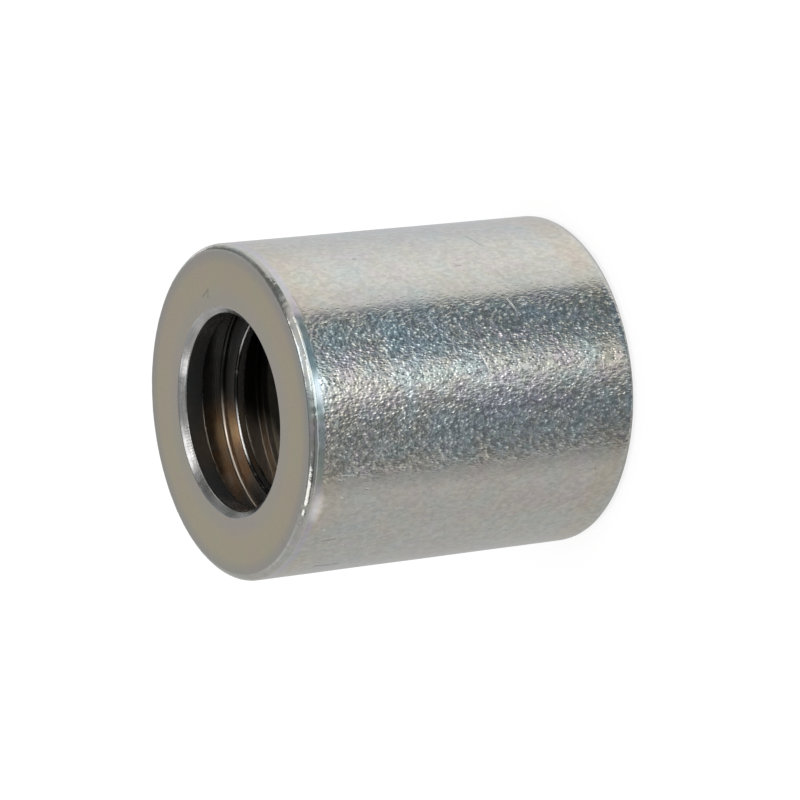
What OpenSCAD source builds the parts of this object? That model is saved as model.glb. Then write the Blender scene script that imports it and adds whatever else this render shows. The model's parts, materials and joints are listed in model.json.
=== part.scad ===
// Crimp ferrule for a hydraulic hose, turned from one steel bar and zinc plated.
// Z is its axis. It stands on its hose end at Z = 0, with the front lip at the top.

/* [Hose and stem] */
// Outside diameter of the hose that enters at the bottom
hose_d = 22.8; // [20:0.1:36]
// Radial gap between the hose and the tooth crests before crimping
hose_gap = 0.4; // [0.1:0.05:1]
// Outside diameter of the fitting's stem that passes through the front lip
stem_d = 16.6; // [10:0.1:20]
// Radial gap between the stem and the lip
stem_gap = 0.2; // [0.05:0.05:0.5]

/* [Body] */
// Length from the hose end to the front face
body_len = 32.3; // [24:0.1:60]
// Wall between the tooth roots and the outside
wall = 2; // [1.5:0.1:5]
// Chamfer on the outer edge of the front face
front_chamfer = 0.45; // [0.1:0.05:1]
// Rounding of the outer edge at the hose end
rear_round = 0.9; // [0.2:0.1:1]

/* [Front lip and lock groove] */
// Length of the lip along the axis, with its mouth chamfer
lip_len = 2.3; // [1.5:0.1:5]
// Length of the mouth chamfer along the axis
mouth_chamfer_len = 0.5; // [0.2:0.05:1]
// Width of the mouth chamfer on the front face
mouth_chamfer_w = 0.6; // [0.2:0.05:1.5]
// Length of the lock groove along the axis
groove_len = 3.1; // [2:0.1:6]
// Depth of the lock groove outside the stem hole
groove_depth = 2.2; // [1:0.1:3]
// Length of the rib between the lock groove and the hose chamber
rib_len = 1; // [0.6:0.1:4]
// Chamfer on the inner edges of the lip and the rib
edge_break = 0.15; // [0.05:0.05:0.25]
// Fillet in the corners of the lock groove and the hose chamber
floor_fillet = 0.4; // [0.1:0.05:0.6]

/* [Hose teeth] */
// Height of the teeth above their roots
tooth_h = 0.7; // [0.3:0.05:1.5]
// Distance from one tooth to the next
tooth_pitch = 4.2; // [3:0.1:8]
// Length of the flat on a tooth's crest
tooth_crest = 0.6; // [0.2:0.05:1.2]
// Lean of a tooth's steep side, in degrees from square to the axis
tooth_lean = 15; // [0:1:30]
// Slope of a tooth's long side, in degrees from the axis
tooth_ramp = 20; // [15:1:45]
// Length of the hose chamber before the first tooth
first_root_len = 3.3; // [1:0.1:8]
// Least plain length between the last tooth and the hose end
entry_len = 2.5; // [1:0.1:8]
// Chamfer on the inner edge of the hose end
entry_chamfer = 0.4; // [0.1:0.05:0.5]

/* [Hidden] */
$fn = 180;
// How far a cutter reaches past the surface that it opens
lap = 2;

// Radii, from the inside out
stem_r = stem_d / 2 + stem_gap;
groove_r = stem_r + groove_depth;
crest_r = hose_d / 2 + hose_gap;
root_r = crest_r + tooth_h;
outer_r = root_r + wall;

// Heights, from the front face down
groove_top = body_len - lip_len;
rib_top = groove_top - groove_len;
chamber_top = rib_top - rib_len;
first_tooth_top = chamber_top - first_root_len;

// Lengths of a tooth's steep and long sides along the axis, and of the whole tooth
lean_len = tooth_h * tan(tooth_lean);
ramp_len = tooth_h / tan(tooth_ramp);
tooth_len = lean_len + tooth_crest + ramp_len;
tooth_count = floor((first_tooth_top - entry_len - tooth_len) / tooth_pitch) + 1;

// The rounding leaves half of the wall flat for the ferrule to stand on
rear_r = min(rear_round, wall / 2);

// What a rounding takes off a corner at the origin, where the shape lies towards -X and +Y
module rounding(r) {
    difference() {
        translate([-r, -lap])
            square([r + lap, r + lap]);
        translate([-r, r])
            circle(r);
    }
}

// What an equal chamfer takes off a corner at the origin: a diamond about that corner
module chamfer(size) {
    circle(size, $fn = 4);
}

// Half section of a turned recess with filleted floor corners
module recess(r, bottom, top) {
    difference() {
        translate([0, bottom])
            square([r, top - bottom]);
        translate([r, bottom])
            rounding(floor_fillet);
        translate([r, top])
            mirror([0, 1])
                rounding(floor_fillet);
    }
}

// Half section of the turned blank
module blank() {
    difference() {
        square([outer_r, body_len]);
        translate([outer_r, body_len])
            chamfer(front_chamfer);
        translate([outer_r, 0])
            rounding(rear_r);
    }
}

// Half section of the hole through the rib and the lip, with its chamfered mouth
module stem_hole() {
    polygon([
        [0, chamber_top - lap],
        [stem_r, chamber_top - lap],
        [stem_r, body_len - mouth_chamfer_len],
        [stem_r + mouth_chamfer_w, body_len],
        [stem_r + mouth_chamfer_w, body_len + lap],
        [0, body_len + lap]
    ]);
    for (z = [groove_top, rib_top, chamber_top])
        translate([stem_r, z])
            chamfer(edge_break);
}

// Half section of one tooth: its steep side faces the front and holds the hose back
module tooth(top) {
    polygon([
        [root_r + lap, top],
        [root_r, top],
        [crest_r, top - lean_len],
        [crest_r, top - lean_len - tooth_crest],
        [root_r, top - tooth_len],
        [root_r + lap, top - tooth_len]
    ]);
}

// Half section of the space that takes the hose
module hose_chamber() {
    difference() {
        recess(root_r, -lap, chamber_top);
        for (i = [0 : tooth_count - 1])
            tooth(first_tooth_top - i * tooth_pitch);
    }
    translate([root_r, 0])
        chamfer(entry_chamfer);
}

module ferrule() {
    color("#a8a69e")
        rotate_extrude()
            difference() {
                blank();
                stem_hole();
                recess(groove_r, rib_top, groove_top);
                hose_chamber();
            }
}

ferrule();
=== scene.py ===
import json
import math

import bmesh
import bpy
from mathutils import Matrix, Vector, noise


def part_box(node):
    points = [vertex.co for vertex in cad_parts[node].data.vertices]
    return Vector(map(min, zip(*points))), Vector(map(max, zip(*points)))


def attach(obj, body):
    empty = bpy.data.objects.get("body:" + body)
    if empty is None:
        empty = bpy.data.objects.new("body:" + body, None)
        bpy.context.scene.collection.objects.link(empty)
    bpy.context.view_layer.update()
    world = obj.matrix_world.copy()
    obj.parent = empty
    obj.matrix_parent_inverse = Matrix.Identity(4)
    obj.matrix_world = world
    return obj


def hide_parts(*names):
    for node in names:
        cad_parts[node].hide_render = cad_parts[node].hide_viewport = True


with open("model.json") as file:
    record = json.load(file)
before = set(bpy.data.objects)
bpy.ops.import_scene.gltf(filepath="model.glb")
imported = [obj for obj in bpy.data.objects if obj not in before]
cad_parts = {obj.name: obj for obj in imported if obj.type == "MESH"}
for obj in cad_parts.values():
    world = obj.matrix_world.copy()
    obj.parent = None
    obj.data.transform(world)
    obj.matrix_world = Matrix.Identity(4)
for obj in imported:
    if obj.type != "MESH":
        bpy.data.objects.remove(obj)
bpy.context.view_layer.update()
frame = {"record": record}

# Sizes below are in millimetres and angles in degrees; the scene itself is in metres
MM = 0.001

# Main sizes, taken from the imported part
node_low, node_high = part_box("ferrule")
mounts = {mount["name"]: mount["dims"] for mount in frame["record"]["mounts"]}
OUTER_R = (node_high.x - node_low.x) / 2 / MM
LENGTH = (node_high.z - node_low.z) / MM
STEM_R = mounts["stem_hole"]["r_mm"]
CREST_R = mounts["hose_socket"]["r_mm"]

# Turned profile, as in the part's source
WALL = 2.0
FRONT_CHAMFER = 0.45
REAR_ROUND = 0.9
LIP_LEN = 2.3
MOUTH_CHAMFER_LEN = 0.5
MOUTH_CHAMFER_W = 0.6
GROOVE_LEN = 3.1
GROOVE_DEPTH = 2.2
RIB_LEN = 1.0
FLOOR_FILLET = 0.4
TOOTH_PITCH = 4.2
TOOTH_CREST = 0.6
TOOTH_LEAN = 15
TOOTH_RAMP = 20
TOOTH_COUNT = 5
FIRST_ROOT_LEN = 3.3
ENTRY_CHAMFER = 0.4

# Heights and radii that follow from the sizes above
ROOT_R = OUTER_R - WALL
GROOVE_R = STEM_R + GROOVE_DEPTH
MOUTH_R = STEM_R + MOUTH_CHAMFER_W
GROOVE_TOP = LENGTH - LIP_LEN
RIB_TOP = GROOVE_TOP - GROOVE_LEN
CHAMBER_TOP = RIB_TOP - RIB_LEN
FIRST_TOOTH_TOP = CHAMBER_TOP - FIRST_ROOT_LEN
TOOTH_H = ROOT_R - CREST_R
LEAN_LEN = TOOTH_H * math.tan(math.radians(TOOTH_LEAN))
RAMP_LEN = TOOTH_H / math.tan(math.radians(TOOTH_RAMP))

# Small roundings that turning and plating leave on the edges
OUTER_EDGE_ROUND = 0.7
FACE_EDGE_ROUND = 0.45
INNER_EDGE_ROUND = 0.25
MOUTH_EDGE_ROUND = 0.22
TOOTH_EDGE_ROUND = 0.1

# Fineness of the mesh
SEGMENTS = 480
ROW_STEP = 1.5
END_ROW = 0.12
CORNER_STEPS = 6
TOOTH_STEPS = 2

# The photograph's camera: it stands at -Y, lies on its side and looks down at the axis
CAMERA_AIM = (-0.526, 0.0, 15.258)
CAMERA_DISTANCE = 386.28
CAMERA_ELEVATION = 30.187
CAMERA_ROLL = 96.35
CAMERA_LENS = 199.24
CAMERA_NEAR = 10

# Zones of the turned profile, numbered as their materials are
OUTSIDE, FACE, BORE, EDGE, RIM = range(5)


# Camera

def add_camera():
    elevation = math.radians(CAMERA_ELEVATION)
    roll = math.radians(CAMERA_ROLL)
    side = Vector((1, 0, 0))
    upright = Vector((0, math.sin(elevation), math.cos(elevation)))
    back = Vector((0, -math.cos(elevation), math.sin(elevation)))
    right = side * math.cos(roll) - upright * math.sin(roll)
    up = side * math.sin(roll) + upright * math.cos(roll)
    data = bpy.data.cameras.new("camera")
    data.lens = CAMERA_LENS
    data.clip_start = CAMERA_NEAR * MM
    camera = bpy.data.objects.new("camera", data)
    place = (Vector(CAMERA_AIM) + back * CAMERA_DISTANCE) * MM
    turn = Matrix((right, up, back)).transposed()
    camera.matrix_world = Matrix.Translation(place) @ turn.to_4x4()
    bpy.context.collection.objects.link(camera)
    bpy.context.scene.camera = camera


# Shader node helpers

def plug(tree, socket, value):
    """Links a socket to another node's output, or sets its value."""
    if isinstance(value, bpy.types.NodeSocket):
        tree.links.new(value, socket)
    else:
        socket.default_value = value


def add_node(tree, kind, inputs=None, **settings):
    node = tree.nodes.new("ShaderNode" + kind)
    for name, value in settings.items():
        setattr(node, name, value)
    for name, value in (inputs or {}).items():
        plug(tree, node.inputs[name], value)
    return node


def math_node(tree, operation, *values):
    node = add_node(tree, "Math", operation=operation)
    for socket, value in zip(node.inputs, values):
        plug(tree, socket, value)
    return node.outputs[0]


# Vector operations that give a number
SCALAR_RESULTS = ("LENGTH", "DISTANCE", "DOT_PRODUCT")


def vector_node(tree, operation, *values):
    node = add_node(tree, "VectorMath", operation=operation)
    for socket, value in zip(node.inputs, values):
        plug(tree, socket, value)
    return node.outputs["Value" if operation in SCALAR_RESULTS else "Vector"]


def scaled(tree, vector, factor):
    node = add_node(tree, "VectorMath", {"Vector": vector, "Scale": factor}, operation="SCALE")
    return node.outputs["Vector"]


def noise_node(tree, coords, scale, detail=2.0, roughness=0.5, distortion=0.0):
    inputs = {
        "Vector": coords,
        "Scale": scale,
        "Detail": detail,
        "Roughness": roughness,
        "Distortion": distortion,
    }
    return add_node(tree, "TexNoise", inputs).outputs["Fac"]


def ramp(tree, factor, stops):
    """A colour ramp; each stop is a place from 0 to 1 and a colour."""
    node = add_node(tree, "ValToRGB", {"Fac": factor})
    elements = node.color_ramp.elements
    while len(elements) < len(stops):
        elements.new(0.5)
    for element, (place, colour) in zip(elements, stops):
        element.position = place
        element.color = (*colour, 1.0)
    return node.outputs["Color"]


def fade(tree, value, start, end, low=0.0, high=1.0):
    """Goes smoothly from low to high as the value goes from start to end."""
    inputs = {0: value, 1: start, 2: end, 3: low, 4: high}
    node = add_node(tree, "MapRange", inputs, interpolation_type="SMOOTHSTEP")
    return node.outputs["Result"]


def blend(tree, factor, first, second):
    node = add_node(tree, "Mix", {0: factor, 6: first, 7: second}, data_type="RGBA")
    return node.outputs[2]


def tinted(tree, first, second):
    inputs = {0: 1.0, 6: first, 7: second}
    node = add_node(tree, "Mix", inputs, data_type="RGBA", blend_type="MULTIPLY")
    return node.outputs[2]


# Colour factor that changes nothing
NEUTRAL = (1, 1, 1, 1)

# Most values of a noise texture lie between these
NOISE_SPAN = (0.3, 0.7)


def varied(tree, value, low, high):
    """Spreads a noise value from low to high."""
    return fade(tree, value, *NOISE_SPAN, low, high)


def split_axes(tree, vector):
    return add_node(tree, "SeparateXYZ", {0: vector}).outputs


def axis_distance(tree, coords):
    return vector_node(tree, "LENGTH", vector_node(tree, "MULTIPLY", coords, (1, 1, 0)))


def spot(tree, coords, centre, full, gone, stretch=1):
    """1 within the full reach of a place and 0 past the other; heights count stretch times in both."""
    away = vector_node(tree, "SUBTRACT", coords, centre)
    away = vector_node(tree, "LENGTH", vector_node(tree, "MULTIPLY", away, (1, 1, stretch)))
    return fade(tree, away, gone, full)


def bare_material(name):
    """A material with an empty node tree."""
    material = bpy.data.materials.new(name)
    material.use_nodes = True
    material.node_tree.nodes.clear()
    return material, material.node_tree


def set_surface(tree, shader):
    output = add_node(tree, "OutputMaterial")
    plug(tree, output.inputs["Surface"], shader)


def glow(tree, colour, strength=1.0):
    return add_node(tree, "Emission", {"Color": colour, "Strength": strength}).outputs[0]


def new_material(name):
    """A material with its node tree, its Principled shader and its coordinates in millimetres."""
    material = bpy.data.materials.new(name)
    material.use_nodes = True
    tree = material.node_tree
    shader = tree.nodes["Principled BSDF"]
    shader.inputs["Metallic"].default_value = 1.0
    coords = scaled(tree, add_node(tree, "TexCoord").outputs["Object"], 1 / MM)
    return material, tree, shader, coords


def bump(tree, shader, height, depth):
    """Bumps the surface by a height that counts in the given depth."""
    node = add_node(tree, "Bump", {"Height": height, "Distance": depth * MM})
    plug(tree, shader.inputs["Normal"], node.outputs["Normal"])


# Materials

# Pits of the plated grain: spacing, width in spacings, and depth
PIT_SPACING = 0.21
PIT_WIDTH = 0.6
PIT_DEPTH = 0.0165

# Drift of the pits from even places, its waves to a millimetre, and the share that heights count in spacings
PIT_DRIFT = 0.1
DRIFT_SCALE = 3.0
PIT_SQUEEZE = 0.48

# Least and most that chance makes of a pit's colour and depth
PIT_TONES = (0.70, 1.26)
PIT_DEPTHS = (0.45, 1.45)

# A few deeper pits among them: spacing, width in spacings, and strength where there is no grain
FEW_SPACING = 0.9
FEW_WIDTH = 0.15
FEW_FAINT = 0.3

# Swells under the pits: how many to a millimetre, their height, and the grain's mean height, in pit depths
SWELL_SCALE = 2.4
SWELL_HEIGHT = 1.8
GRAIN_MEAN = 0.62

# Side with the full grain: its angle, radius shares where the grain begins and is full, strength elsewhere
GRAIN_ANGLE = -89
GRAIN_PART = (0.86, 0.90)
FAINT_GRAIN = 0.25

# The border of that side wavers: waves to a millimetre, and height as a share of the radius
WAVER_SCALE = 0.5
WAVER_SHARE = 0.05

# Other relief of the outside, in pit depths: broad waves, turning lines, dents in the front edge, scratches
WAVE_HEIGHT = 0.2
LINE_HEIGHT = 0.12
DENT_HEIGHT = 2.0
SCRATCH_HEIGHT = -0.8

# Heights between which each zone of the outside sets in
SMOOTH_BAND = (LENGTH - 1.45, LENGTH - 1.1)
FRONT_EDGE = (LENGTH - 0.8, LENGTH - 0.5)
WARM_FRONT = (LENGTH - 6.0, LENGTH - 1.5)
WARM_REAR = (5.0, 2.5)
WARM_REAR_END = (0.8, 1.6)
REAR_EDGE = (0.2, 1.0)

# Colour of the plate; colour factors of its film near both ends and on the smooth band, of the band's
# painted dark teal reflection, and of its painted highlight
PLATE = (0.62, 0.615, 0.59, 1)
WARM_FILM = (1.0, 0.955, 0.90, 1)
BAND_VIOLET = (0.95, 0.92, 1.03, 1)
BAND_TEAL_REFLECTION = (0.80, 0.89, 0.87, 1)
PAINTED_BAND_HIGHLIGHT = (1.50, 1.47, 1.56, 1)

# Strength of the film's colours away from the grain, and painted shade on the edge at the hose end
FILM_FAINT = 0.55
REAR_SHADE = 0.72

# Shares of a scratch's half width at which it is full and gone
SCRATCH_FULL = 0.4
SCRATCH_GONE = 1.2

# Scratches outside: angle and height of both ends, half width, and what they do to the plate's colour
SCRATCHES = [
    (-26.7, 10.7, -34.2, 10.3, 0.10, 0.72),
    (-35.6, 23.3, -35.8, 23.0, 0.09, 0.55),
    (-44.5, 14.3, -44.4, 13.7, 0.08, 0.70),
    (-47.6, 10.7, -52.8, 10.4, 0.05, 0.80),
    (-51.2, 31.0, -60.5, 30.8, 0.11, 0.80),
    (-53.0, 13.9, -53.3, 13.1, 0.05, 0.80),
    (-60.8, 11.0, -65.4, 10.6, 0.08, 1.40),
    (-79.9, 15.2, -87.2, 14.5, 0.06, 1.50),
    (-84.5, 3.2, -89.2, 3.3, 0.06, 1.50),
    (-87.7, 5.5, -85.2, 5.1, 0.05, 1.35),
    (-85.3, 5.0, -88.1, 4.8, 0.05, 1.35),
    (-115.6, 29.2, -116.0, 27.8, 0.05, 1.40),
    (-117.0, 29.5, -117.3, 29.2, 0.09, 1.35),
    (-121.5, 26.6, -121.7, 26.4, 0.08, 1.35),
    (-123.9, 28.9, -124.3, 28.8, 0.10, 1.40),
    (-124.6, 3.6, -125.1, 3.5, 0.10, 0.70),
    (-132.4, 24.3, -132.7, 24.2, 0.08, 1.30),
    (-137.1, 29.7, -137.6, 29.6, 0.10, 1.30),
    (-143.1, 29.4, -142.8, 28.1, 0.11, 0.68),
    (-143.7, 4.6, -141.5, 3.5, 0.12, 0.88),
    (-146.9, 27.0, -147.2, 26.9, 0.09, 1.25),
    (-151.4, 6.7, -150.6, 5.3, 0.07, 0.85),
    (-151.6, 10.2, -151.7, 10.1, 0.09, 0.70),
    (-161.5, 28.1, -162.2, 26.6, 0.18, 0.50),
    (-161.9, 26.3, -161.6, 25.8, 0.18, 0.45),
]


def at(angle, radius, height):
    """A point by its angle, radius and height, in millimetres."""
    turn = math.radians(angle)
    return Vector((math.cos(turn) * radius, math.sin(turn) * radius, height))


def scratch_mask(tree, coords, start, end, half_width):
    """1 on the straight line between two points, 0 away from it."""
    run = end - start
    reach = vector_node(tree, "SUBTRACT", coords, start)
    share = vector_node(tree, "DOT_PRODUCT", reach, run / run.length_squared)
    share = add_node(tree, "Clamp", {"Value": share}).outputs[0]
    away = vector_node(tree, "DISTANCE", reach, scaled(tree, run, share))
    return fade(tree, away, half_width * SCRATCH_FULL, half_width * SCRATCH_GONE, 1.0, 0.0)


def scratched(tree, coords):
    """All scratches together: the bright ones' depth, from 0 to 1, and the colour factor of all."""
    depth = 0.0
    shade = 1.0
    for first_angle, first_height, last_angle, last_height, half_width, factor in SCRATCHES:
        start = at(first_angle, OUTER_R, first_height)
        end = at(last_angle, OUTER_R, last_height)
        mask = scratch_mask(tree, coords, start, end, half_width)
        tone = fade(tree, mask, 0.0, 1.0, 1.0, factor)
        shade = math_node(tree, "MULTIPLY", shade, tone)
        if factor > 1:
            depth = math_node(tree, "MAXIMUM", depth, mask)
    return depth, shade


def pitted(tree, coords):
    """Dense shallow pits of random depth on small swells, the few deeper pits, and a tone for each pit."""
    drift_inputs = {"Vector": coords, "Scale": DRIFT_SCALE, "Detail": 1.0}
    drift = add_node(tree, "TexNoise", drift_inputs).outputs["Color"]
    moved = vector_node(tree, "ADD", coords, scaled(tree, drift, PIT_DRIFT))
    squeezed = vector_node(tree, "MULTIPLY", moved, (1, 1, PIT_SQUEEZE))
    cells = add_node(tree, "TexVoronoi", {"Vector": squeezed, "Scale": 1 / PIT_SPACING}).outputs
    pits = fade(tree, cells["Distance"], 0.0, PIT_WIDTH)
    chance = split_axes(tree, cells["Color"])
    depth = fade(tree, chance["Y"], 0.0, 1.0, *PIT_DEPTHS)
    dense = math_node(tree, "MULTIPLY", math_node(tree, "SUBTRACT", pits, 1.0), depth)
    swells = noise_node(tree, moved, SWELL_SCALE, 1.0)
    dense = math_node(tree, "MULTIPLY_ADD", swells, SWELL_HEIGHT, dense)
    dense = math_node(tree, "SUBTRACT", dense, GRAIN_MEAN)
    few = add_node(tree, "TexVoronoi", {"Vector": squeezed, "Scale": 1 / FEW_SPACING}).outputs
    few = fade(tree, few["Distance"], 0.0, FEW_WIDTH, -1.0, 0.0)
    return dense, few, fade(tree, chance["X"], 0.0, 1.0, *PIT_TONES)


def film_tint(tree, coords):
    """Colours of the clear film on the zinc: broad patches with finer ones in them."""
    broad = ramp(tree, noise_node(tree, coords, 0.16, 2.0, 0.5, 0.4), [
        (0.30, (0.93, 1.00, 1.03)),
        (0.46, (0.99, 1.00, 0.99)),
        (0.58, (1.00, 0.99, 0.93)),
        (0.70, (1.00, 0.95, 0.96)),
    ])
    fine = ramp(tree, noise_node(tree, coords, 0.45, 2.0, 0.5, 0.3), [
        (0.36, (0.91, 1.00, 1.01)),
        (0.46, (0.99, 0.99, 1.02)),
        (0.54, (1.00, 1.00, 0.95)),
        (0.64, (1.00, 0.94, 1.00)),
    ])
    return tinted(tree, broad, fine)


def grained_part(tree, coords):
    """1 on the side of the sleeve where the grain is full, and 0 elsewhere."""
    part = vector_node(tree, "DOT_PRODUCT", coords, at(GRAIN_ANGLE, 1 / OUTER_R, 0))
    waver = math_node(tree, "SUBTRACT", noise_node(tree, coords, WAVER_SCALE, 2.0), 0.5)
    return fade(tree, math_node(tree, "MULTIPLY_ADD", waver, WAVER_SHARE, part), *GRAIN_PART)


# Painted highlights on the smooth band: angle, depth below the front, and reach at which each is full and
# gone
BAND_HIGHLIGHT_PLACES = [
    (-86.2, 1.25, 0.8, 2.1),
    (-127.0, 1.2, 0.5, 2.0),
]

# Heights count this many times in those reaches
BAND_HIGHLIGHT_FLATNESS = 2.5


def band_tint(tree, coords, band, part):
    """Colour factor of the smooth band: violet, a painted dark teal reflection on the grained part, and
    painted highlights in places.
    """
    # Painted dark teal reflection on the grained part of the band
    tint = blend(tree, band, NEUTRAL, blend(tree, part, BAND_VIOLET, BAND_TEAL_REFLECTION))
    # Painted highlights on the band at the listed places
    for angle, depth, full, gone in BAND_HIGHLIGHT_PLACES:
        centre = at(angle, OUTER_R, LENGTH - depth)
        tint = blend(tree, spot(tree, coords, centre, full, gone, BAND_HIGHLIGHT_FLATNESS), tint, PAINTED_BAND_HIGHLIGHT)
    return tint


def outside_zones(tree, coords):
    """The height, and masks of the smooth band, the front edge and the part with the full grain."""
    height = split_axes(tree, coords)["Z"]
    return {
        "height": height,
        "smooth": fade(tree, height, *SMOOTH_BAND),
        "edge": fade(tree, height, *FRONT_EDGE),
        "part": grained_part(tree, coords),
    }


def grain_strength(tree, zones, scratch):
    """Full on the grained part and faint elsewhere; none on the smooth band and in bright scratches."""
    strength = fade(tree, zones["part"], 0.0, 1.0, FAINT_GRAIN, 1.0)
    strength = math_node(tree, "SUBTRACT", strength, zones["smooth"])
    strength = math_node(tree, "MAXIMUM", strength, 0.0)
    return math_node(tree, "MULTIPLY", strength, math_node(tree, "SUBTRACT", 1.0, scratch))


def outside_relief(tree, coords, zones, grain, dense, few, scratch):
    """Height of the outside, in pit depths."""
    relief = math_node(tree, "MULTIPLY", dense, grain)
    few_strength = fade(tree, grain, 0.0, 1.0, FEW_FAINT, 1.0)
    relief = math_node(tree, "MULTIPLY_ADD", few, few_strength, relief)
    waves = noise_node(tree, coords, 0.9, 1.0)
    line_coords = add_node(tree, "CombineXYZ", {"Z": zones["height"]}).outputs[0]
    lines = math_node(tree, "MULTIPLY", noise_node(tree, line_coords, 4.0, 2.0), zones["smooth"])
    dents = math_node(tree, "MULTIPLY", noise_node(tree, coords, 1.6, 3.0), zones["edge"])
    heights = (WAVE_HEIGHT, LINE_HEIGHT, DENT_HEIGHT, SCRATCH_HEIGHT)
    for form, height in zip((waves, lines, dents, scratch), heights):
        relief = math_node(tree, "MULTIPLY_ADD", form, height, relief)
    return relief


def outside_tint(tree, coords, zones):
    """Colour factor of the film and of the smooth band, with the band's painted reflection and highlights,
    warmer near both ends.
    """
    height = zones["height"]
    near_front = math_node(tree, "SUBTRACT", fade(tree, height, *WARM_FRONT), zones["smooth"])
    rear_end = fade(tree, height, *WARM_REAR_END)
    near_rear = math_node(tree, "MULTIPLY", fade(tree, height, *WARM_REAR), rear_end)
    warmth = blend(tree, math_node(tree, "MAXIMUM", near_front, near_rear), NEUTRAL, WARM_FILM)
    film_share = fade(tree, zones["part"], 0.0, 1.0, FILM_FAINT, 1.0)
    film = blend(tree, film_share, NEUTRAL, film_tint(tree, coords))
    band = math_node(tree, "SUBTRACT", zones["smooth"], zones["edge"])
    return tinted(tree, tinted(tree, film, warmth), band_tint(tree, coords, band, zones["part"]))


def plated_outside():
    """Zinc plate with a fine pitted grain, and a smooth turned band behind the front edge."""
    material, tree, shader, coords = new_material("plated_outside")
    zones = outside_zones(tree, coords)
    dense, few, pit_tone = pitted(tree, coords)
    scratch, scratch_tone = scratched(tree, coords)
    grain = grain_strength(tree, zones, scratch)
    bump(tree, shader, outside_relief(tree, coords, zones, grain, dense, few, scratch), PIT_DEPTH)
    mottle = varied(tree, noise_node(tree, coords, 1.8, 2.0), 0.95, 1.05)
    # Painted shade on the edge at the hose end
    rear_shade = fade(tree, zones["height"], *REAR_EDGE, REAR_SHADE, 1.0)
    tone = math_node(tree, "MULTIPLY", mottle, math_node(tree, "MULTIPLY", scratch_tone, rear_shade))
    tint = tinted(tree, outside_tint(tree, coords, zones), tone)
    tint = tinted(tree, tint, blend(tree, grain, NEUTRAL, pit_tone))
    plug(tree, shader.inputs["Base Color"], tinted(tree, tint, PLATE))
    patches = noise_node(tree, coords, 0.7, 3.0)
    plug(tree, shader.inputs["Roughness"], varied(tree, patches, 0.11, 0.16))
    return material


# Two short marks on the front face: X and Y of both ends; their half width and colour factor
FACE_MARKS = [
    ((10.7, 1.1), (10.15, 2.2)),
    ((10.7, 1.1), (10.0, 1.3)),
]
FACE_MARK_WIDTH = 0.09
FACE_MARK_TONE = 0.68

# Depth of the faint rings and clouds in the turned face
FACE_RELIEF = 0.002


def turned_face():
    """The smooth turned front: a warm film that is greyer at its rims, with faint rings."""
    material, tree, shader, coords = new_material("turned_face")
    radius = axis_distance(tree, coords)
    place = fade(tree, radius, MOUTH_R, OUTER_R)
    warm = ramp(tree, place, [
        (0.05, (0.63, 0.590, 0.52)),
        (0.30, (0.67, 0.605, 0.47)),
        (0.75, (0.66, 0.600, 0.47)),
        (0.93, (0.56, 0.540, 0.50)),
    ])
    film = noise_node(tree, coords, 0.3, 2.0, 0.5, 0.6)
    tint = ramp(tree, film, [
        (0.34, (0.97, 1.00, 0.97)),
        (0.50, (1.00, 0.99, 0.98)),
        (0.64, (1.00, 0.97, 0.99)),
    ])
    ring_coords = add_node(tree, "CombineXYZ", {"X": radius}).outputs[0]
    rings = noise_node(tree, ring_coords, 6.0, 3.0, 0.6)
    cloud = noise_node(tree, coords, 2.5, 2.0)
    bump(tree, shader, math_node(tree, "MULTIPLY_ADD", cloud, 0.4, rings), FACE_RELIEF)
    marks = 0.0
    for start, end in FACE_MARKS:
        ends = (Vector((*start, LENGTH)), Vector((*end, LENGTH)))
        mark = scratch_mask(tree, coords, *ends, FACE_MARK_WIDTH)
        marks = math_node(tree, "MAXIMUM", marks, mark)
    tint = tinted(tree, tint, fade(tree, marks, 0.0, 1.0, 1.0, FACE_MARK_TONE))
    plug(tree, shader.inputs["Base Color"], tinted(tree, warm, tint))
    plug(tree, shader.inputs["Roughness"], varied(tree, cloud, 0.2, 0.28))
    return material


# Chatter on the mouth chamfer's inner half: first and last angle, angle in which it fades, waves to a turn
CHATTER_SPAN = (92, 124)
CHATTER_FADE = 4.58
CHATTER_COUNT = 200

# Depths below the front between which the chatter sets in
CHATTER_DEPTHS = (0.2, 0.3)

# Depth of the tears and streaks in the mouth chamfer
CUT_RELIEF = 0.016


def chatter(tree, coords):
    """How far the chatter marks dim the mouth chamfer, as a factor."""
    axes = split_axes(tree, coords)
    angle = math_node(tree, "ARCTAN2", axes["Y"], axes["X"])
    first, last = (math.radians(end) for end in CHATTER_SPAN)
    faded = math.radians(CHATTER_FADE)
    begun = fade(tree, angle, first, first + faded)
    ended = fade(tree, angle, last, last - faded)
    inner = fade(tree, axes["Z"], *(LENGTH - depth for depth in CHATTER_DEPTHS))
    share = math_node(tree, "MULTIPLY", math_node(tree, "MULTIPLY", begun, ended), inner)
    waves = math_node(tree, "SINE", math_node(tree, "MULTIPLY", angle, CHATTER_COUNT))
    uneven = math_node(tree, "MULTIPLY_ADD", noise_node(tree, coords, 5.0, 2.0), 10.0, waves)
    marks = fade(tree, uneven, 4.0, 7.0, 0.98, 0.66)
    return blend(tree, share, NEUTRAL, marks)


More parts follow.
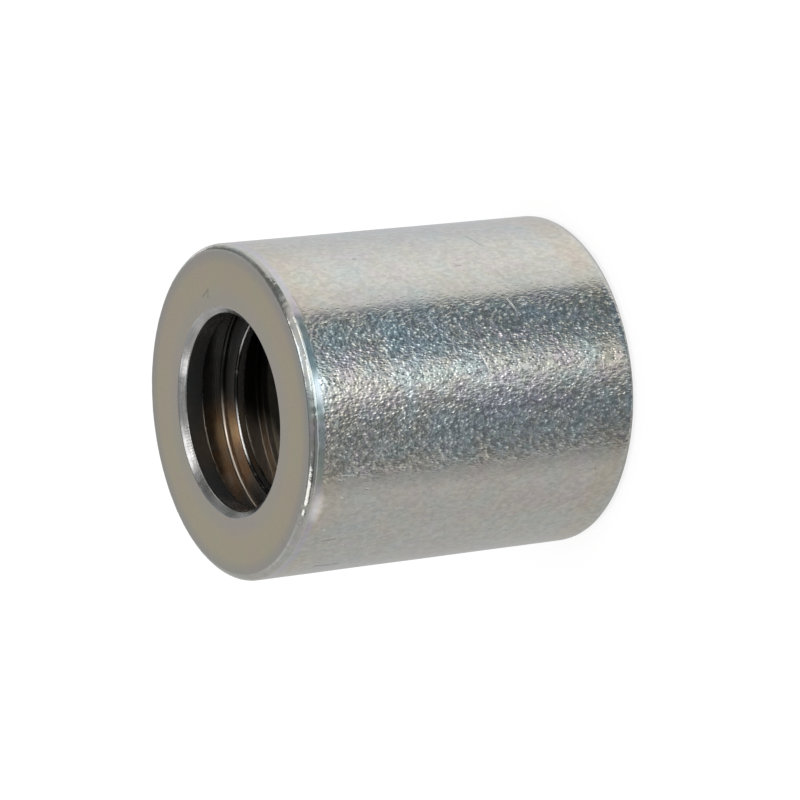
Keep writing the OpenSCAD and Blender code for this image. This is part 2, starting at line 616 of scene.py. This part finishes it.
def cut_edge():
    """The bright-cut mouth chamfer: streaks round it, small tears and chatter in places."""
    material, tree, shader, coords = new_material("cut_edge")
    tears = noise_node(tree, coords, 2.2, 3.0, 0.6)
    torn = fade(tree, noise_node(tree, coords, 0.3, 1.0), 0.46, 0.62)
    streak_coords = vector_node(tree, "MULTIPLY", coords, (0.25, 0.25, 9.0))
    streaks = noise_node(tree, streak_coords, 1.0, 2.0)
    relief = math_node(tree, "MULTIPLY", tears, torn)
    bump(tree, shader, math_node(tree, "MULTIPLY_ADD", streaks, 0.25, relief), CUT_RELIEF)
    tint = ramp(tree, streaks, [
        (0.35, (0.52, 0.52, 0.52)),
        (0.60, (0.64, 0.63, 0.62)),
    ])
    worn = fade(tree, noise_node(tree, coords, 0.4, 3.0, 0.6), 0.35, 0.6, 0.86, 1.04)
    tint = tinted(tree, tint, worn)
    plug(tree, shader.inputs["Base Color"], tinted(tree, tint, chatter(tree, coords)))
    plug(tree, shader.inputs["Roughness"], varied(tree, tears, 0.18, 0.28))
    return material


# Painted highlights on the inner edges: angle, radius, height, reach at which each is full and gone
EDGE_HIGHLIGHT_PLACES = [
    (32, STEM_R, RIB_TOP, 1.8, 3.6),
    (102, STEM_R, RIB_TOP, 1.6, 3.3),
    (110, STEM_R, CHAMBER_TOP, 1.2, 3.0),
    (118, STEM_R, GROOVE_TOP, 3.0, 6.0),
]

# Heights count this many times in those reaches, so that each place keeps to its own edge
EDGE_APART = 5

# Colours of the inner edges: near black, and their painted highlight
EDGE_GREY = (0.05, 0.05, 0.05, 1)
EDGE_HIGHLIGHT = (0.88, 0.87, 0.84, 1)


def rubbed_edge():
    """The narrow inner edges: near black, with faint random wear and painted highlights in places."""
    material, tree, shader, coords = new_material("rubbed_edge")
    wear = noise_node(tree, coords, 1.3, 2.0)
    bright = fade(tree, wear, 0.58, 0.66, 0.0, 0.15)
    # Painted highlights at the listed places on the inner edges
    for angle, radius, height, full, gone in EDGE_HIGHLIGHT_PLACES:
        edge_highlight = spot(tree, coords, at(angle, radius, height), full, gone, EDGE_APART)
        bright = math_node(tree, "MAXIMUM", bright, edge_highlight)
    plug(tree, shader.inputs["Base Color"], blend(tree, bright, EDGE_GREY, EDGE_HIGHLIGHT))
    plug(tree, shader.inputs["Roughness"], varied(tree, wear, 0.2, 0.3))
    return material


# Painted warm reflection in the lock groove, painted cream highlight in its lower corner, and painted gold
# reflection on the rib's face: centre, reach when full and gone
PAINTED_GROOVE_REFLECTION = (at(108, GROOVE_R, RIB_TOP + 0.6), 2.5, 5.7)
CORNER_HIGHLIGHT = (at(114, GROOVE_R, RIB_TOP), 4.2, 7.0)
PAINTED_RIB_REFLECTION = (at(100, STEM_R + 0.8, RIB_TOP), 0.6, 2.6)

# Colours of the painted gold reflection, of the painted cream highlight, and of the painted shade in the
# corner past it
RIB_REFLECTION_TONE = (0.55, 0.45, 0.33, 1)
CORNER_HIGHLIGHT_CREAM = (0.86, 0.74, 0.62, 1)
CORNER_PAINTED_SHADE = (0.05, 0.05, 0.045, 1)

# The hose chamber has painted light and is duller: colour factor of the painted light, added roughness, and
# height in which both set in
CHAMBER_PAINTED_LIGHT = 1.6
CHAMBER_DULL = 0.25
CHAMBER_FADE = 1.0

# Depth of the turning lines in the bore, and how metallic its surface is
BORE_RELIEF = 0.008
BORE_METAL = 0.85


def corner_highlight(tree, coords, colour):
    """Paints a cream highlight into the lower corner of the lock groove, and painted shade where it ends."""
    height = split_axes(tree, coords)["Z"]
    outer = fade(tree, axis_distance(tree, coords), GROOVE_R - 0.5, GROOVE_R - 0.15)
    lower = fade(tree, height, RIB_TOP + 0.5, RIB_TOP + 0.15)
    # Painted cream highlight, fading into painted shade
    highlight_and_shade = blend(tree, spot(tree, coords, *CORNER_HIGHLIGHT), CORNER_PAINTED_SHADE, CORNER_HIGHLIGHT_CREAM)
    return blend(tree, math_node(tree, "MULTIPLY", outer, lower), colour, highlight_and_shade)


def bore_colour(tree, coords, height):
    """Grey, with painted light in the hose chamber, and painted warm reflections in the lock groove and on
    the rib.
    """
    film = noise_node(tree, coords, 0.5, 2.0)
    grey = ramp(tree, film, [
        (0.35, (0.21, 0.22, 0.23)),
        (0.65, (0.27, 0.25, 0.23)),
    ])
    brown = ramp(tree, film, [
        (0.35, (0.42, 0.34, 0.22)),
        (0.50, (0.48, 0.31, 0.19)),
        (0.65, (0.46, 0.38, 0.31)),
    ])
    # Painted light: the hose chamber's colour is made lighter
    light = fade(tree, height, CHAMBER_TOP - CHAMBER_FADE, CHAMBER_TOP, CHAMBER_PAINTED_LIGHT, 1.0)
    colour = tinted(tree, grey, light)
    # Painted warm reflections: brown in the lock groove, gold on the rib's face
    for place, tone in ((PAINTED_GROOVE_REFLECTION, brown), (PAINTED_RIB_REFLECTION, RIB_REFLECTION_TONE)):
        colour = blend(tree, spot(tree, coords, *place), colour, tone)
    return corner_highlight(tree, coords, colour)


def turned_bore():
    """The turned inside: grey, with fine turning lines and a painted brown reflection on one side of the
    lock groove.
    """
    material, tree, shader, coords = new_material("turned_bore")
    height = split_axes(tree, coords)["Z"]
    plug(tree, shader.inputs["Base Color"], bore_colour(tree, coords, height))
    shader.inputs["Metallic"].default_value = BORE_METAL
    line_coords = add_node(tree, "CombineXYZ", {"Z": height}).outputs[0]
    lines = noise_node(tree, line_coords, 5.0, 3.0, 0.6)
    cloud = noise_node(tree, coords, 1.5, 2.0)
    bump(tree, shader, math_node(tree, "MULTIPLY_ADD", cloud, 0.6, lines), BORE_RELIEF)
    dull = fade(tree, height, CHAMBER_TOP, CHAMBER_TOP - CHAMBER_FADE, 0.0, CHAMBER_DULL)
    shine = varied(tree, cloud, 0.14, 0.24)
    plug(tree, shader.inputs["Roughness"], math_node(tree, "ADD", shine, dull))
    return material


# Ferrule mesh

def tooth_corners(top):
    """One hose tooth's corners from the hose end up: ramp, crest and steep side."""
    crest_top = top - LEAN_LEN
    crest_bottom = crest_top - TOOTH_CREST
    return [
        (ROOT_R, crest_bottom - RAMP_LEN, TOOTH_EDGE_ROUND, BORE),
        (CREST_R, crest_bottom, TOOTH_EDGE_ROUND, BORE),
        (CREST_R, crest_top, TOOTH_EDGE_ROUND, BORE),
        (ROOT_R, top, TOOTH_EDGE_ROUND, BORE),
    ]


def profile_corners():
    """The half section's corners: radius, height, rounding, and the zone of the side that follows."""
    corners = [
        (MOUTH_R, LENGTH, MOUTH_EDGE_ROUND, FACE),
        (OUTER_R - FRONT_CHAMFER, LENGTH, FACE_EDGE_ROUND, OUTSIDE),
        (OUTER_R, LENGTH - FRONT_CHAMFER, OUTER_EDGE_ROUND, OUTSIDE),
        (OUTER_R, 0, REAR_ROUND, FACE),
        (ROOT_R + ENTRY_CHAMFER, 0, TOOTH_EDGE_ROUND, BORE),
        (ROOT_R, ENTRY_CHAMFER, TOOTH_EDGE_ROUND, BORE),
    ]
    for index in reversed(range(TOOTH_COUNT)):
        corners += tooth_corners(FIRST_TOOTH_TOP - index * TOOTH_PITCH)
    corners += [
        (ROOT_R, CHAMBER_TOP, FLOOR_FILLET, BORE),
        (STEM_R, CHAMBER_TOP, INNER_EDGE_ROUND, BORE),
        (STEM_R, RIB_TOP, INNER_EDGE_ROUND, BORE),
        (GROOVE_R, RIB_TOP, FLOOR_FILLET, BORE),
        (GROOVE_R, GROOVE_TOP, FLOOR_FILLET, BORE),
        (STEM_R, GROOVE_TOP, INNER_EDGE_ROUND, BORE),
        (STEM_R, LENGTH - MOUTH_CHAMFER_LEN, MOUTH_EDGE_ROUND, EDGE),
    ]
    return corners


def corner_arc(before, corner, after, radius):
    """Points of the round that replaces a corner between two straight sides."""
    back = (before - corner).normalized()
    onward = (after - corner).normalized()
    half = back.angle(onward) / 2
    centre = corner + (back + onward).normalized() * (radius / math.sin(half))
    cut = radius / math.tan(half)
    first = corner + back * cut - centre
    last = corner + onward * cut - centre
    sweep = first.angle(last)
    steps = TOOTH_STEPS if radius == TOOTH_EDGE_ROUND else CORNER_STEPS
    points = []
    for step in range(steps + 1):
        share = step / steps
        mix = first * math.sin((1 - share) * sweep) + last * math.sin(share * sweep)
        points.append(centre + mix / math.sin(sweep))
    return points


def profile_rows():
    """The whole half section as points with zones, with long sides split into short rows."""
    corners = profile_corners()
    count = len(corners)
    rows = []
    for index, (radius, height, rounding, zone) in enumerate(corners):
        before = Vector(corners[index - 1][:2])
        after = Vector(corners[(index + 1) % count][:2])
        arc = corner_arc(before, Vector((radius, height)), after, rounding)
        if rows:
            start, start_zone = rows[-1]
            rows += split_side(start, arc[0], start_zone)
        arc_zone = RIM if rounding == INNER_EDGE_ROUND else corners[index - 1][3]
        if zone in (OUTSIDE, EDGE):
            arc_zone = zone
        rows += [(point, arc_zone) for point in arc[:-1]]
        rows.append((arc[-1], zone))
    rows += split_side(rows[-1][0], rows[0][0], rows[-1][1])
    return rows


def split_side(start, end, zone):
    """Points between the ends of a straight side: even rows and, outside, one close to each end."""
    length = (end - start).length
    parts = max(1, round(length / ROW_STEP))
    shares = [part / parts for part in range(1, parts)]
    if zone == OUTSIDE and length > ROW_STEP:
        shares = [END_ROW / length, *shares, 1 - END_ROW / length]
    return [(start.lerp(end, share), zone) for share in shares]


# Nicks in the front outer edge: angle, depth and half width
EDGE_NICKS = [
    (-24.0, 0.02, 0.18),
    (-33.0, 0.04, 0.18),
    (-38.5, 0.04, 0.22),
    (-44.0, 0.03, 0.15),
    (-52.0, 0.04, 0.20),
    (-61.5, 0.05, 0.18),
    (-93.0, 0.05, 0.18),
    (-97.0, 0.05, 0.18),
    (-128.0, 0.05, 0.25),
    (-146.0, 0.10, 0.25),
]

# Unevenness of the surface: waves to a millimetre and height of the slow waves; scales of the fine ones
SLOW_SCALE = 0.16
SLOW_HEIGHT = 0.012
FINE_SCALES = (1.1, 2.7)

# Height of the fine waves at the rim and at the mouth, and how far from each they reach
RIM_HEIGHT = 0.024
RIM_REACH = 0.8
MOUTH_HEIGHT = 0.014
MOUTH_REACH = 0.9
FRONT_REACH = 1.0

# The mean surface lies this far inside the solid, and no wave stands out of it
INSET = 0.02


def nick_depth(point):
    """How deep the front edge is nicked at a point's angle."""
    here = math.degrees(math.atan2(point.y, point.x))
    depth = 0.0
    for angle, most, half_width in EDGE_NICKS:
        away = math.radians(here - angle) * OUTER_R / half_width
        depth += most * math.exp(-away * away)
    return depth


def nearness(distance, reach):
    """1 at no distance, falling to 0 at the reach."""
    return max(0.0, 1.0 - abs(distance) / reach)


def unevenness(point, radius, height):
    """How far a turned and tumbled surface departs from its true form at a point."""
    slow = noise.noise(point * SLOW_SCALE) * SLOW_HEIGHT
    front_edge = nearness(height - LENGTH, FRONT_REACH)
    at_rim = front_edge * nearness(radius - OUTER_R, RIM_REACH)
    at_mouth = front_edge * nearness(radius - STEM_R, MOUTH_REACH)
    coarser, finer = (noise.noise(point * scale) for scale in FINE_SCALES)
    fine = coarser + 0.5 * finer
    uneven = slow + fine * (RIM_HEIGHT * at_rim + MOUTH_HEIGHT * at_mouth)
    if at_rim > 0:
        uneven -= nick_depth(point) * at_rim
    return uneven


def ring_vertices(build, point, outward):
    """The ring that a point of the half section makes round the axis, moved by the unevenness."""
    ring = []
    for segment in range(SEGMENTS):
        angle = 2 * math.pi * segment / SEGMENTS
        turn = Vector((math.cos(angle), math.sin(angle), 0))
        place = turn * point.x + Vector((0, 0, point.y))
        shift = min(0.0, unevenness(place, point.x, point.y) - INSET)
        radius = point.x + outward.x * shift
        height = max(0.0, point.y + outward.y * shift)
        ring.append(build.verts.new((turn * radius + Vector((0, 0, height))) * MM))
    return ring


def join_rings(build, ring, following, zone):
    """A band of faces between two rings."""
    for segment in range(SEGMENTS):
        other = (segment + 1) % SEGMENTS
        face = build.faces.new((ring[segment], following[segment], following[other], ring[other]))
        face.material_index = zone
        face.smooth = True


def ferrule_mesh():
    """The half section turned round the axis."""
    rows = profile_rows()
    points = [point for point, zone in rows]
    zones = [zone for point, zone in rows]
    count = len(rows)
    build = bmesh.new()
    rings = []
    for index, point in enumerate(points):
        along = points[(index + 1) % count] - points[index - 1]
        outward = Vector((-along.y, along.x)).normalized()
        rings.append(ring_vertices(build, point, outward))
    for index, zone in enumerate(zones):
        join_rings(build, rings[index], rings[(index + 1) % count], zone)
    bmesh.ops.recalc_face_normals(build, faces=build.faces)
    mesh = bpy.data.meshes.new("ferrule_plated")
    build.to_mesh(mesh)
    build.free()
    return mesh


def build_ferrule(materials):
    mesh = ferrule_mesh()
    for material in materials:
        mesh.materials.append(material)
    piece = bpy.data.objects.new("ferrule_plated", mesh)
    bpy.context.collection.objects.link(piece)
    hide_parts("ferrule")
    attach(piece, "root")


# Studio

# Floor: its radius, that of its middle, sides of its rings, colour, and share of plain white in what is seen
FLOOR_R = 4000
CENTRE_R = 190
FLOOR_SIDES = 96
FLOOR_COLOUR = (0.9, 0.9, 0.9, 1)
FLOOR_WHITE = 0.85


def floor_material():
    """White to the eye and to mirrors, with enough plain white in it to keep the object's shadow."""
    material, tree = bare_material("studio_floor")
    path = add_node(tree, "LightPath").outputs
    seen = math_node(tree, "MAXIMUM", path["Is Camera Ray"], path["Is Glossy Ray"])
    seen = math_node(tree, "MAXIMUM", seen, path["Is Transmission Ray"])
    share = math_node(tree, "MULTIPLY", seen, FLOOR_WHITE)
    lit = add_node(tree, "BsdfDiffuse", {"Color": FLOOR_COLOUR}).outputs[0]
    mixed = add_node(tree, "MixShader", {0: share, 1: lit, 2: glow(tree, NEUTRAL)}).outputs[0]
    set_surface(tree, mixed)
    return material


def stage_strip(name, points, places, material):
    """A strip between two rows of points, which alternate in the list, with a UV place for each point."""
    faces = [(i, i + 1, i + 3, i + 2) for i in range(0, len(points) - 2, 2)]
    mesh = bpy.data.meshes.new(name)
    mesh.from_pydata(points, [], faces)
    layer = mesh.uv_layers.new(name="strip")
    for loop in mesh.loops:
        layer.data[loop.index].uv = places[loop.vertex_index]
    mesh.materials.append(material)
    strip = bpy.data.objects.new(name, mesh)
    bpy.context.collection.objects.link(strip)
    return strip


def stage_ring(name, inner, outer, height, material):
    """A flat ring, or a disc where the inner radius is 0, with the angle and radius as UV."""
    points = []
    places = []
    for step in range(FLOOR_SIDES + 1):
        share = step / FLOOR_SIDES
        angle = 2 * math.pi * share
        turn = Vector((-math.sin(angle), math.cos(angle), 0))
        for radius in (inner, outer):
            points.append((turn * radius + Vector((0, 0, height))) * MM)
            places.append((share, radius / outer))
    return stage_strip(name, points, places, material)


# Card under the sleeve: its height, and its glow, as little light as an open hose end lets in
PAD_HEIGHT = 0.02
PAD_GLOW = 0.4


def pad_material():
    """A dim warm card under the open sleeve, for the light that its hose end lets in."""
    material, tree, shader, coords = new_material("bore_pad")
    paper = ramp(tree, noise_node(tree, coords, 2.0, 3.0), [
        (0.3, (0.35, 0.33, 0.29)),
        (0.7, (0.43, 0.40, 0.35)),
    ])
    plug(tree, shader.inputs["Base Color"], paper)
    plug(tree, shader.inputs["Emission Color"], paper)
    shader.inputs["Emission Strength"].default_value = PAD_GLOW
    shader.inputs["Metallic"].default_value = 0.0
    shader.inputs["Roughness"].default_value = 1.0
    return material


# Card below the floor: depth, radius, radii between which its tones change, and the glow of a full tone
CARD_DEPTH = 500
CARD_R = 3000
CARD_TURN = (780, 1500)
CARD_LEVEL = 2.5

# Tones that the side mirrors: angle round the axis, colour straight on, and colour at a flatter look
CARD_TONES = [
    (-180, (0.50, 0.50, 0.50), (0.53, 0.53, 0.53)),
    (-150, (0.55, 0.55, 0.54), (0.58, 0.58, 0.57)),
    (-137, (0.55, 0.54, 0.53), (0.58, 0.58, 0.57)),
    (-126, (0.58, 0.57, 0.56), (0.64, 0.63, 0.61)),
    (-119, (0.40, 0.40, 0.40), (0.64, 0.63, 0.61)),
    (-112, (0.22, 0.24, 0.26), (0.62, 0.63, 0.63)),
    (-104, (0.22, 0.25, 0.28), (0.70, 0.74, 0.77)),
    (-96, (0.22, 0.25, 0.29), (0.82, 0.85, 0.88)),
    (-91, (0.42, 0.46, 0.49), (1.30, 1.32, 1.34)),
    (-88, (0.73, 0.76, 0.79), (2.00, 1.98, 1.96)),
    (-85, (0.77, 0.81, 0.84), (2.40, 2.36, 2.32)),
    (-82, (0.60, 0.65, 0.70), (1.90, 1.90, 1.90)),
    (-78, (0.23, 0.28, 0.33), (1.10, 1.16, 1.20)),
    (-73, (0.19, 0.24, 0.29), (0.88, 0.96, 1.03)),
    (-66, (0.19, 0.23, 0.27), (0.81, 0.88, 0.93)),
    (-61, (0.17, 0.20, 0.23), (0.70, 0.74, 0.78)),
    (-57.5, (0.83, 0.83, 0.82), (0.82, 0.82, 0.81)),
    (-46, (0.99, 0.99, 0.98), (0.96, 0.96, 0.93)),
    (-36, (0.94, 0.94, 0.94), (0.92, 0.92, 0.90)),
    (-24, (0.75, 0.76, 0.78), (0.78, 0.79, 0.80)),
    (-10, (0.62, 0.63, 0.65), (0.66, 0.67, 0.68)),
    (0, (0.62, 0.62, 0.64), (0.64, 0.64, 0.65)),
]


def card_material():
    """The tones above, by angle, blended outwards from the straight look to the flat one."""
    material, tree = bare_material("graded_card")
    axes = split_axes(tree, add_node(tree, "UVMap").outputs["UV"])
    angle = math_node(tree, "SUBTRACT", 1.0, axes["X"])
    sides = []
    for column in (1, 2):
        stops = [(-row[0] / 180, Vector(row[column]) / CARD_LEVEL) for row in reversed(CARD_TONES)]
        sides.append(ramp(tree, angle, stops))
    start, end = CARD_TURN
    flatness = fade(tree, axes["Y"], start / CARD_R, end / CARD_R)
    set_surface(tree, glow(tree, blend(tree, flatness, *sides), CARD_LEVEL))
    return material


def only_mirrored(card):
    """Lets a card show in mirrors and do nothing else."""
    card.visible_camera = False
    card.visible_diffuse = False
    card.visible_transmission = False
    card.visible_volume_scatter = False
    card.visible_shadow = False


# Flags round the part, at one distance and with one top: azimuths of both ends, height of the foot, and tone
FLAG_R = 185
FLAG_TOP = 130
FLAG_STEPS = 24
FLAGS = {
    "dark_flag": (60, 152, -35, (0.20, 0.215, 0.205, 1)),
    "grey_flag": (-8, -55, 0, (0.26, 0.28, 0.29, 1)),
    "pale_flag": (-55, -172, 0, (0.50, 0.50, 0.49, 1)),
}

# Tone of the pale places on the dark flag
FLAG_PALE = (0.75, 0.76, 0.76, 1)


def pale_share(tree, along, up):
    """Pale places of the dark flag: its first end, and a foot that rises steeply and then falls away."""
    slope = math_node(tree, "MULTIPLY_ADD", along, -2.4, 3.0)
    rise = math_node(tree, "MULTIPLY", slope, fade(tree, along, 0.25, 0.36, 0.18, 1.0))
    foot = fade(tree, math_node(tree, "DIVIDE", up, rise), 0.66, 0.34)
    return math_node(tree, "MAXIMUM", foot, fade(tree, along, 0.2, 0.0))


def flag_material(name, tone):
    """One glowing tone, with pale places on the dark flag."""
    material, tree = bare_material(name)
    colour = tone
    if name == "dark_flag":
        axes = split_axes(tree, add_node(tree, "UVMap").outputs["UV"])
        colour = blend(tree, pale_share(tree, axes["X"], axes["Y"]), tone, FLAG_PALE)
    set_surface(tree, glow(tree, colour))
    return material


def build_flag(name, first, last, foot, tone):
    """A curved upright strip, with the share of its length and height as UV."""
    points = []
    places = []
    for step in range(FLAG_STEPS + 1):
        share = step / FLAG_STEPS
        azimuth = math.radians(first + (last - first) * share)
        turn = Vector((math.sin(azimuth), -math.cos(azimuth), 0))
        for upper, height in enumerate((foot, FLAG_TOP)):
            points.append((turn * FLAG_R + Vector((0, 0, height))) * MM)
            places.append((share, upper))
    only_mirrored(stage_strip(name, points, places, flag_material(name, tone)))


def build_floor():
    """A pale floor. Mirrors look through its middle at a graded card below, as through a glass shelf."""
    white = floor_material()
    stage_ring("floor", CENTRE_R, FLOOR_R, 0, white)
    centre = stage_ring("floor_centre", 0, CENTRE_R, 0, white)
    centre.visible_glossy = False
    pad = stage_ring("bore_pad", 0, ROOT_R + ENTRY_CHAMFER, PAD_HEIGHT, pad_material())
    pad.visible_camera = False
    only_mirrored(stage_ring("graded_card", 0, CARD_R, -CARD_DEPTH, card_material()))


# Soft lamps: azimuth, elevation, distance, size, radiance, colour, and whether mirrors show them
LAMPS = {
    "key": (20, 32, 700, (200, 200), 1.4, (1.0, 0.96, 0.92), True),
    "side": (-75, 52, 700, (250, 250), 1.3, (1, 1, 1), True),
    "front": (27, 9, 1000, (1150, 230), 1.3, (1, 1, 1), True),
    "top": (72, 70, 700, (300, 260), 1.4, (1, 1, 1), True),
    "ceiling": (0, 90, 1500, (1500, 1500), 4.4, (1, 1, 1), False),
}


def add_lamp(name, azimuth, elevation, distance, size, radiance, colour, mirrored):
    """A soft lamp aimed at the part. Azimuth 0 is in front, at -Y, and 90 is at +X."""
    turn = math.radians(azimuth)
    rise = math.radians(elevation)
    level = Vector((math.sin(turn), -math.cos(turn), 0))
    away = level * math.cos(rise) + Vector((0, 0, math.sin(rise)))
    data = bpy.data.lights.new(name, "AREA")
    data.shape = "RECTANGLE"
    data.size = size[0] * MM
    data.size_y = size[1] * MM
    data.energy = radiance * math.pi * data.size * data.size_y
    data.color = colour
    lamp = bpy.data.objects.new(name, data)
    lamp.location = (away * distance + Vector((0, 0, LENGTH / 2))) * MM
    lamp.rotation_mode = "QUATERNION"
    lamp.rotation_quaternion = (-away).to_track_quat("-Z", "Y")
    lamp.visible_glossy = mirrored
    bpy.context.collection.objects.link(lamp)


# Greys of the room from in front of the part to behind it: place, and tone
ROOM_GREYS = [
    (0.0, 0.12),
    (0.5, 0.15),
    (0.8, 0.22),
    (0.92, 0.38),
    (0.97, 0.44),
    (1.0, 0.46),
]

# Soft lights of the room: direction, angles from it at which the light is full and gone, and strength
ROOM_GLOWS = [
    ((-0.76, 0.40, 0.52), 15, 45, 0.28),
    ((0.05, -0.35, 0.93), 10, 40, 0.20),
    ((0.56, -0.66, 0.50), 20, 45, 0.50),
]


def studio_world():
    """A plain grey room, darker in front of the part and lighter behind it, with soft side lights."""
    world = bpy.data.worlds.new("studio")
    bpy.context.scene.world = world
    world.use_nodes = True
    tree = world.node_tree
    direction = add_node(tree, "TexCoord").outputs["Generated"]
    depth = split_axes(tree, direction)["Y"]
    greys = [(place, (grey, grey, grey)) for place, grey in ROOM_GREYS]
    tone = ramp(tree, fade(tree, depth, -1.0, 1.0), greys)
    for aim, full, gone, strength in ROOM_GLOWS:
        towards = vector_node(tree, "DOT_PRODUCT", direction, Vector(aim).normalized())
        gone_at = math.cos(math.radians(gone))
        full_at = math.cos(math.radians(full))
        tone = math_node(tree, "ADD", tone, fade(tree, towards, gone_at, full_at, 0.0, strength))
    plug(tree, tree.nodes["Background"].inputs["Color"], tone)


def build_studio():
    build_floor()
    for name, flag in FLAGS.items():
        build_flag(name, *flag)
    studio_world()
    for name, lamp in LAMPS.items():
        add_lamp(name, *lamp)


add_camera()
build_ferrule([plated_outside(), turned_face(), turned_bore(), cut_edge(), rubbed_edge()])
build_studio()
bpy.context.scene.view_settings.view_transform = "Standard"
